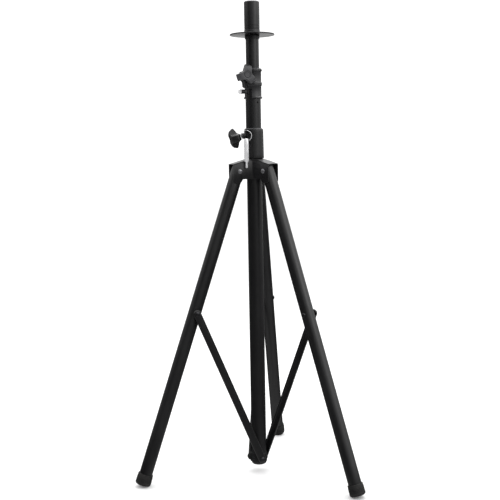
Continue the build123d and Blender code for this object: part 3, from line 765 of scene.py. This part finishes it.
def make_knob(name, where, spin):
    low, high = measure(name, where)
    neck = 7.2
    limits = [(neck + out, rise) for out, rise in
              ((-0.6, 0.0), (0.0, 0.5), (0.6, 1.8), (1.6, 3.5), (2.8, 5.4), (4.4, 7.0))]
    limits += [(KNOB_TIP + out, rise) for out, rise in
               ((-6.5, 8.6), (-2.6, 9.9), (-0.2, 11.0), (0.9, 12.0), (1.0, 13.2), (0.4, 14.6), (-1.2, 17.4),
                (-3.0, 20.4), (-4.6, 22.4), (-6.0, 23.3), (-8.0, high.z - low.z))]

    def shape(r, angle, height):
        if r <= neck + 0.5:
            return r
        reach = three_arms(angle, spin, KNOB_TIP, KNOB_TIP_HALF, KNOB_VALLEY, 24, 10)
        return (reach ** -20 + r ** -20) ** -0.05

    rings = [(r, low.z + rise) for r, rise in limits]
    dish = [(KNOB_CAP + 2.6, high.z), (KNOB_CAP + 0.7, high.z - 0.2), (KNOB_CAP + 0.1, high.z - 0.8),
            (KNOB_CAP + FIT, high.z - 2.0), (0, high.z - 2.0)]
    head = turned([(0, low.z), *rings, *dish], hollow=False, around=180, shape=shape)
    add(f"{name}_moulded", head, where, name, smooth=50)

    low, high = measure(f"{name}_cap", where)
    rim, dished = KNOB_CAP - 0.1, high.z - 0.4
    cap = [(0, low.z), (rim, low.z), *top_edge(rim, high.z, 0.8, 5), (rim - 1.6, high.z - 0.05),
           (rim - 2.0, high.z - 0.35), (rim - 2.6, dished), (0, dished)]
    add(f"{name}_cap_moulded", turned(cap, hollow=False, around=72), where, f"{name}_cap")

    stud = f"{name}_stud"
    low, high = measure(stud, where)
    add(f"{stud}_threaded", thread(girth(stud, where)[1], low.z, high.z), where, stud)


# ---------------------------------------------------------------- hub

hub_bore = girth("hub_star_plate", column)[0]
star_top = measure("hub_star_plate", column)[1].z
arm_end = measure("hub_star_plate", spoke(90))[1].x


def star_height(r):
    """The top of the sloping star plate at a distance from the column's axis."""
    return star_top - (r - hub_bore) * tan(STAR_SLOPE)


def make_star():
    edge, bevel = 0.6, 0.18
    steps = 14
    rings = [(k / steps, edge, 0.0) for k in range(steps + 1)]
    rings += [(1.0, bevel, -bevel), (1.0, 0.0, -edge), (1.0, 0.0, edge - STAR_SHEET),
              (1.0, bevel, bevel - STAR_SHEET)]
    rings += [(k / steps, edge, -STAR_SHEET) for k in range(steps, -1, -1)]
    loops = []
    for share, inset, drop in rings:
        loop = []
        for i in range(360):
            angle = radians(i)
            outer = three_arms(angle, 0, arm_end, ARM_HALF, STAR_RING, 26, 16) - inset
            r = hub_bore + (outer - hub_bore) * share
            loop.append((r * cos(angle), r * sin(angle), star_height(r) + drop))
        loops.append(loop)
    add("hub_star_plate_pressed", skin(loops, joined=True), column, "hub_star_plate")


def web_foot(r):
    """The lower edge of a web plate: higher near the column and at the arm's end."""
    rise = min(1.0, max(0.0, (43.0 - r) / 6.0))
    lift = max(0.0, r - (arm_end - 4)) * 6 / 9
    return WEB_BOTTOM + WEB_RISE * rise * rise * (3 - 2 * rise) + lift


def make_webs():
    """Three plates, each bent to join the facing sides of two clevises."""
    bend_r, fold = 4.0, radians(60)
    middle = ARM_HALF - ARM_SHEET / 2
    reach = arm_end - 1
    corner = middle / sin(fold)
    for number, leg in enumerate(LEGS, start=1):
        flat_start = corner * cos(fold) + bend_r / tan(fold)
        path = []
        for k in range(13):
            x = reach + (flat_start - reach) * k / 12
            path.append((Vector((x, middle)), Vector((0, 1))))
        centre_distance = corner + bend_r / sin(fold)
        centre = Vector((centre_distance * cos(fold), centre_distance * sin(fold)))
        for k in range(1, 8):
            turn = radians(-90 - 60 * k / 8)
            out = Vector((cos(turn), sin(turn)))
            path.append((centre + bend_r * out, -out))
        for k in range(13):
            x = flat_start + (reach - flat_start) * k / 12
            point = Vector((x, -middle))
            turn = Matrix.Rotation(radians(120), 2)
            path.append((turn @ point, turn @ Vector((0, -1))))
        loops = [web_section(point, normal) for point, normal in path]
        add(f"hub_web_{number}_folded", skin(loops), spoke(leg_azimuths[leg]), f"hub_web_{number}",
            smooth=50)


def web_section(point, normal):
    """One upright section of a web plate, with its edges rounded."""
    r = point.length
    low = web_foot(r)
    high = star_height(r) - STAR_SHEET - 0.1
    half, edge, bevel = ARM_SHEET / 2, 0.6, 0.18
    outline = [(half, low + edge), (half, high - edge), (half - bevel, high - bevel), (half - edge, high),
               (edge - half, high), (bevel - half, high - bevel), (-half, high - edge), (-half, low + edge),
               (bevel - half, low + bevel), (edge - half, low), (half - edge, low),
               (half - bevel, low + bevel)]
    return [(*(point + normal * side), z) for side, z in outline]


def make_pivot_bolts():
    """The legs' pivot bolts: a domed head at one side and a domed nut on a washer at the other."""
    head_r, nut_r, height, washer = 5.4, 4.7, 3.2, 0.9
    seat = ARM_HALF + FIT
    bolts = []
    for leg in LEGS:
        bolt = together(bar(SHANK_R, -seat - 0.5, seat + 0.5),
                        moved(pipe(head_r, SHANK_R, 0, washer, 0.25), raised(seat)),
                        dome(nut_r, seat + washer, height - washer), flipped(dome(head_r, seat, height)))
        bolts.append(moved(bolt, from_place(joint_place(f"{leg}_leg_pivot"))))
    add("leg_pivot_bolts_domed", together(*bolts), column, "leg_pivot_bolts")


def from_place(where):
    """Takes a mesh in millimetres from a place to the column's own place."""
    return Matrix.Scale(1 / MM, 4) @ column.inverted() @ where @ Matrix.Scale(MM, 4)


# ---------------------------------------------------------------- slide collar and safety pin

def make_collar():
    low, high = measure("slide_collar", column)
    bore, outer = girth("slide_collar", column)
    taper = 0.8
    top_r = outer - taper
    sleeve = [(bore, low.z), *bottom_edge(outer, low.z, 0.9, 4),
              *((outer - taper * k / 8, low.z + (high.z - low.z) * k / 8) for k in range(1, 8)),
              *top_edge(top_r, high.z, 0.9, 4), (bore, high.z)]
    where = joint_place("lower_knob_turn", UP.cross(joint_axis("lower_knob_turn")))

    def screw_drill():
        return moved(bar(SCREW_HOLE_R, -25, 5), from_place(where))

    add("slide_collar_drawn", carved(turned(sleeve), [screw_drill()]), column, "slide_collar")

    bush_low, bush_high = measure("slide_collar_bush", column)
    inner, lip = girth("slide_collar_bush", column)
    bush = [(inner, bush_low.z), (bore - FIT, bush_low.z), (bore - FIT, high.z + FIT),
            (lip - 0.4, high.z + FIT),
            *arc(lip - 0.6, high.z + 0.65, 0.6, 0, 60, 3), (lip - 1.2, bush_high.z - 0.1),
            (inner, bush_high.z)]
    add("slide_collar_bush_moulded", carved(turned(bush), [screw_drill()]), column, "slide_collar_bush")

    boss_low, boss_high = measure("collar_boss", where)
    inner, boss_r = SCREW_HOLE_R, 6.6
    start = boss_low.z - 1.0
    boss = [(inner, start), (boss_r, start), (boss_r, start + 3.0), *top_edge(boss_r, boss_high.z, 0.9, 4),
            (inner + 0.5, boss_high.z), (inner, boss_high.z - 0.5)]
    add("collar_boss_turned", turned(boss, around=SMALL_ROUND), where, "collar_boss")
    make_knob("lower_knob", where, 30)


def make_lug():
    """A tab of flat bar on the collar, with a round end and the split ring's hole."""
    ring = joint_point("split_ring_swing")
    where = place(ring, joint_axis("split_ring_swing"), (ring - axis) * Vector((1, 1, 0)))
    hole_r = 2.2
    low, high = measure("safety_pin_lug", where)
    half = (high.y - low.y) / 2
    tab = [*arc(0, 0, half, -90, 90, 16), (low.x - 1.2, half), (low.x - 1.2, -half)]
    lug = plate([tab, circle(hole_r, 24)], high.z - low.z, 0.4)
    add("safety_pin_lug_pressed", moved(lug, raised(low.z)), where, "safety_pin_lug")


def make_split_ring():
    """Two close turns of wire."""
    low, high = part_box("split_ring")
    where = place((low + high) / 2, joint_axis("split_ring_swing").cross(UP), UP)
    low, high = measure("split_ring", where)
    wire_r = (high.z - low.z) / 4
    ring_r = (high.x - low.x) / 2 - wire_r
    steps = 96
    path = []
    for k in range(2 * steps + 1):
        a = 2 * pi * k / steps + 0.6
        drift = max(-1.0, min(1.0, (k - steps) / 10))
        path.append((ring_r * cos(a), ring_r * sin(a), wire_r * 0.98 * drift))
    add("split_ring_coiled", wire(path, wire_r, sides=14), where, "split_ring")


def make_safety_pin():
    low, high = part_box("safety_pin")
    where = place((low + high) / 2, UP, joint_axis("split_ring_swing"))
    low, high = measure("safety_pin", where)
    outer = girth("safety_pin", where)[1]
    tip, shoulder, groove = 2.3, low.z + 14.0, low.z + 40
    groove_r, eye_r = outer - 0.5, 2.7
    eye_height = (joint_point("safety_pin_swing") - where.translation).z / MM
    profile = [(0, low.z), (tip - 0.9, low.z), (tip, low.z + 1.4), (tip, shoulder - 2),
               (tip + 0.4, shoulder - 1.3), (outer - 0.4, shoulder + 0.6), (outer, shoulder + 1.4),
               (outer, groove), (groove_r, groove + 0.5), (groove_r, groove + 1.3), (outer, groove + 1.8),
               (outer, high.z - 14), (outer, high.z - 4), (outer - 0.5, high.z - 2.2),
               (outer - 1.8, high.z - 0.5), (0, high.z)]
    drill = moved(bar(eye_r, -8, 8, around=24), raised(eye_height) @ ALONG_X)
    pin = carved(turned(profile, hollow=False, around=SMALL_ROUND), [drill])
    add("safety_pin_turned", pin, where, "safety_pin")


# ---------------------------------------------------------------- legs and braces

def make_leg(leg):
    along = leg_pivots[leg] - brace_pivots[leg]
    where = place(leg_pivots[leg], along, joint_axis(f"{leg}_leg_pivot"))
    tube = f"{leg}_leg_tube"
    add(f"{tube}_drawn", drawn_tube(tube, where), where, tube)

    bore, outer = girth(tube, where)
    rim = measure(tube, where)[1].z
    low, high = measure(f"{leg}_leg_plug", where)
    plug = [(0, low.z), (bore - FIT, low.z), (bore - FIT, rim + FIT), (outer - 0.2, rim + FIT),
            *top_edge(outer, high.z, 1.1, 5), (outer - 4, high.z), (outer - 4.6, high.z - 0.5),
            (0, high.z - 0.5)]
    add(f"{leg}_leg_plug_moulded", turned(plug, hollow=False), where, f"{leg}_leg_plug")

    foot = f"{leg}_foot"
    foot_r = girth(foot, where)[1]
    low, high = measure(foot, where)
    base, round_r = 6.0, 5.2
    profile = [(0, low.z), (foot_r - round_r - 5, low.z), *bottom_edge(foot_r, low.z, round_r)]
    for rise in (9.0, 12.5, 16.0):
        profile += [(foot_r, low.z + rise - 0.9), (foot_r - 0.9, low.z + rise - 0.5),
                    (foot_r - 0.9, low.z + rise + 0.5), (foot_r, low.z + rise + 0.9)]
    profile += [(foot_r - 0.6, high.z - 4), *arc(foot_r - 1.8, high.z - 1.2, 1.2, 0, 90, 5),
                (outer + 0.1, high.z), (outer + FIT, low.z + base), (0, low.z + base)]
    add(f"{foot}_moulded", turned(profile, hollow=False), where, foot)


def stadium(length, radius):
    """A slot's outline from the origin along X, as evenly placed points."""
    ends, sides = 20, 12
    return [*arc(length, 0, radius, -90, 90, ends)[:-1],
            *((length * (1 - k / sides), radius) for k in range(sides)),
            *arc(0, 0, radius, 90, 270, ends)[:-1],
            *((length * k / sides, -radius) for k in range(sides))]


def make_brace(leg):
    """A pressed channel with round ends, its bolt at the leg and its rivet at the bracket."""
    sheet = 1.5
    pivot = joint_place(f"{leg}_brace_pivot")
    low, high = measure(f"{leg}_brace_rivet", pivot)
    foot = pivot @ Vector(((low.x + high.x) / 2 * MM, (low.y + high.y) / 2 * MM, 0))
    where = place(foot, joint_axis(f"{leg}_brace_pivot"), brace_pivots[leg] - foot)
    length = (brace_pivots[leg] - foot).length / MM
    low, high = measure(f"{leg}_brace", where)
    half = (high.y - low.y) / 2
    press = 2.2
    section = [(sheet + 1.6, high.z - sheet), (sheet + 0.5, high.z - sheet - 0.3),
               (sheet, high.z - sheet - 1.2), (sheet, low.z + EDGE), (sheet - EDGE, low.z),
               (EDGE, low.z), (0, low.z + EDGE), (0, high.z - press)]
    section += [(press - press * cos(a), high.z - press + press * sin(a))
                for a in (radians(18 * k) for k in range(1, 6))]
    loops = [[(x, y, z) for x, y in stadium(length, half - inset)] for inset, z in section]
    add(f"{leg}_brace_pressed", skin(loops), where, f"{leg}_brace", smooth=50)

    rivet_low, rivet_high = measure(f"{leg}_brace_rivet", where)
    rivet = together(bar(5.0, rivet_low.z, high.z - sheet - FIT), bar(SHANK_R, rivet_low.z + 1, high.z + 0.5),
                     dome(5.4, high.z + FIT, rivet_high.z - high.z - FIT))
    add(f"{leg}_brace_rivet_set", rivet, where, f"{leg}_brace_rivet")

    bolt = f"{leg}_brace_bolt"
    bolt_low, bolt_high = measure(bolt, pivot)
    leg_line = place(leg_pivots[leg], leg_pivots[leg] - brace_pivots[leg], UP.cross(axis - leg_pivots[leg]))
    leg_r = girth(f"{leg}_leg_tube", leg_line)[1]
    nut_base = high.z + 0.2
    spacer = pipe(6.0, SHANK_R + FIT, leg_r + FIT, low.z - 0.3, 0.4)
    bolt_mesh = together(flipped(dome(5.0, leg_r, -bolt_low.z - leg_r)),
                         bar(SHANK_R, bolt_low.z + 1, nut_base + 1), spacer, nut_mesh(nut_base, bolt_high.z))
    add(f"{bolt}_fitted", bolt_mesh, pivot, bolt)


def nut_mesh(base, top):
    """An acorn nut: a low hexagon under a dome."""
    flat, hex_top = 5.6, base + 2.4
    corners = [(0, base), (flat - 0.2, base), (6.4, base + 0.7), (6.4, hex_top - 0.7), (flat - 0.2, hex_top)]
    hexed = turned([*corners, (0, hex_top)], hollow=False, around=72, shape=hexagon(flat))
    return together(hexed, dome(4.9, hex_top - 0.2, top - hex_top + 0.2))


def make_bracket():
    """A ring with three flats that the braces' lower ends are riveted against."""
    low, high = measure("brace_bracket", column)
    bore = girth("brace_bracket", column)[0]
    ring_r = bore + 1.45
    middle = (low.z + high.z) / 2
    wide, tall, short_of_brace = 10, (high.z - low.z) / 2, 0.3
    flats = []
    for leg in LEGS:
        flat = rounded([(-wide, -tall), (wide, -tall), (wide, tall), (-wide, tall)], 4, steps=6)
        face = measure(f"{leg}_brace", joint_place(f"{leg}_brace_pivot"))[0].z - short_of_brace
        flats.append(moved(plate([flat], face - 10, 0.5),
                           turned_to(leg_azimuths[leg]) @ Matrix.Translation((0, face, middle)) @ ON_EDGE))
    body = carved(pipe(ring_r, bore, low.z, high.z, 0.5), flats, "UNION")
    body = carved(body, [bar(bore, low.z - 2, high.z + 2, around=ROUND)])
    add("brace_bracket_pressed", body, column, "brace_bracket", smooth=35)

    low, high = measure("bracket_screws", column)
    height = (low.z + high.z) / 2
    tip = measure("bracket_screws", spoke(0))[1].x
    head_r, shank_r = 3.6, 2.0
    screws = []
    for azimuth in (0, 120, 240):
        screw = together(dome(head_r, ring_r, tip - ring_r, around=36),
                         bar(shank_r, ring_r - 3, ring_r + 0.5, around=24))
        screws.append(moved(screw, turned_to(azimuth) @ raised(height) @ ALONG_X))
    add("bracket_screws_domed", together(*screws), column, "bracket_screws")


make_main_tube()
make_column_plug()
make_pole()
make_clamp()
make_plunger()
make_star()
make_webs()
make_pivot_bolts()
make_collar()
make_lug()
make_split_ring()
make_safety_pin()
for leg_name in LEGS:
    make_leg(leg_name)
    make_brace(leg_name)
make_bracket()


# ---------------------------------------------------------------- stage, light and camera

def make_stage():
    floor = bpy.data.objects.new("floor", skin_disc(14.0))
    scene.collection.objects.link(floor)
    paper = Finish("floor_paper", specular=0.2)
    tone = paper.blend(paper.spread(paper.noise(1.5), 0, 1), (0.86, 0.86, 0.86), (0.90, 0.90, 0.90))
    paper.colour(tone)
    paper.gloss(paper.spread(paper.noise(9.0), 0.75, 0.9))
    floor.data.materials.append(paper.material)
    floor.visible_glossy = False


def skin_disc(radius):
    """A flat round floor, as a grid of rings."""
    bm = bmesh.new()
    rings = 24
    made = []
    for k in range(rings):
        reach = radius * ((k + 1) / rings) ** 2
        made.append([bm.verts.new((x, y, 0)) for x, y in circle(reach, ROUND)])
    bm.faces.new(made[0])
    for a, b in zip(made, made[1:]):
        for i in range(ROUND):
            k = (i + 1) % ROUND
            bm.faces.new((a[i], b[i], b[k], a[k]))
    bmesh.ops.recalc_face_normals(bm, faces=bm.faces)
    mesh = bpy.data.meshes.new("floor")
    bm.to_mesh(mesh)
    bm.free()
    return mesh


def make_world(panels):
    """A white room for light and for the eye; in reflections, a dark studio with soft white panels."""
    world = bpy.data.worlds.new("studio")
    scene.world = world
    world.use_nodes = True
    tree = world.node_tree
    new, link = tree.nodes.new, tree.links.new
    background = tree.nodes["Background"]
    background.inputs["Color"].default_value = (1, 1, 1, 1)
    direction = new("ShaderNodeTexCoord").outputs["Generated"]
    total = None
    for towards, outer, inner, strength in panels:
        facing = new("ShaderNodeVectorMath")
        facing.operation = "DOT_PRODUCT"
        facing.inputs[1].default_value = Vector(towards).normalized()
        link(direction, facing.inputs[0])
        ramp = new("ShaderNodeMapRange")
        ramp.interpolation_type = "SMOOTHSTEP"
        ramp.inputs["From Min"].default_value = cos(radians(outer))
        ramp.inputs["From Max"].default_value = cos(radians(inner))
        ramp.inputs["To Max"].default_value = strength
        link(facing.outputs["Value"], ramp.inputs["Value"])
        add_up = new("ShaderNodeMath")
        add_up.inputs[1].default_value = DARK_STUDIO
        link(ramp.outputs["Result"], add_up.inputs[0])
        if total is not None:
            link(total, add_up.inputs[1])
        total = add_up.outputs[0]
    mirrored = new("ShaderNodeMix")
    path = new("ShaderNodeLightPath")
    link(path.outputs["Is Glossy Ray"], mirrored.inputs["Factor"])
    mirrored.inputs[2].default_value = WHITE_ROOM
    link(total, mirrored.inputs[3])
    link(mirrored.outputs[0], background.inputs["Strength"])


def softbox(name, position, aim, width, height, power):
    light = bpy.data.lights.new(name, "AREA")
    light.shape = "RECTANGLE"
    light.size = width
    light.size_y = height
    light.energy = power
    lamp = bpy.data.objects.new(name, light)
    lamp.location = position
    lamp.rotation_euler = (Vector(aim) - Vector(position)).to_track_quat("-Z", "Y").to_euler()
    scene.collection.objects.link(lamp)


WHITE_ROOM = 1.28
DARK_STUDIO = 0.02
VIEW_AZIMUTH = radians(10.52)  # the camera stands to the right of the front by this
VIEW_DISTANCE = 2.1244  # from the column, along the floor
VIEW_HEIGHT = 0.7632
VIEW_DOWN = radians(6.32)
VIEW_ROLL = radians(0.96)
LENS = 66.28
FRAME_SHIFT = -0.0113

ahead = Vector((-sin(VIEW_AZIMUTH), cos(VIEW_AZIMUTH), 0))
rightward = Vector((cos(VIEW_AZIMUTH), sin(VIEW_AZIMUTH), 0))


def make_camera():
    forward = ahead * cos(VIEW_DOWN) - UP * sin(VIEW_DOWN)
    level_up = rightward.cross(forward)
    right = rightward * cos(VIEW_ROLL) - level_up * sin(VIEW_ROLL)
    up = rightward * sin(VIEW_ROLL) + level_up * cos(VIEW_ROLL)
    lens = bpy.data.cameras.new("camera")
    lens.lens = LENS
    lens.sensor_width = 36.0
    lens.shift_x = FRAME_SHIFT
    lens.clip_start = 0.05
    camera = bpy.data.objects.new("camera", lens)
    turn = Matrix((right, up, -forward)).transposed().to_4x4()
    camera.matrix_world = Matrix.Translation(axis - ahead * VIEW_DISTANCE + UP * VIEW_HEIGHT) @ turn
    scene.collection.objects.link(camera)
    scene.camera = camera


def studio_point(side, back, height):
    """A point beside and behind the column, as the camera sees it."""
    return axis + rightward * side + ahead * back + UP * height


make_stage()
make_world([
    (rightward * 0.32 - ahead * 0.55 + UP * 0.76, 62, 35, 0.8),  # high, beside the camera
    (rightward * 0.64 + UP * 0.76, 62, 35, 0.9),  # high on the right
    (-rightward * 0.60 + ahead * 0.05 + UP * 0.80, 56, 30, 0.35),  # high on the left
    (UP * 0.9 + ahead * 0.55, 50, 20, 0.6),  # overhead and behind
    (ahead * 0.62 - rightward * 0.30 + UP * 0.72, 62, 35, 0.6),  # high behind, to the left
    (ahead * 0.45 + rightward * 0.52 + UP * 0.72, 62, 35, 0.6),  # high behind, to the right
    (ahead - UP * 0.12, 22, 8, 1.0),  # the far wall and the floor before it
    (-UP, 74, 40, 0.5),  # the floor close by
])
make_camera()
middle = studio_point(0, 0, 0.6)
softbox("key", studio_point(1.9, -1.5, 1.7), middle, 1.8, 1.6, 10)
softbox("fill", studio_point(-2.3, -0.4, 1.8), middle, 0.8, 1.4, 3)
softbox("top", studio_point(0.2, 0.9, 3.0), middle, 2.6, 1.8, 40)
scene.view_settings.view_transform = "Standard"
scene.view_settings.look = "None"
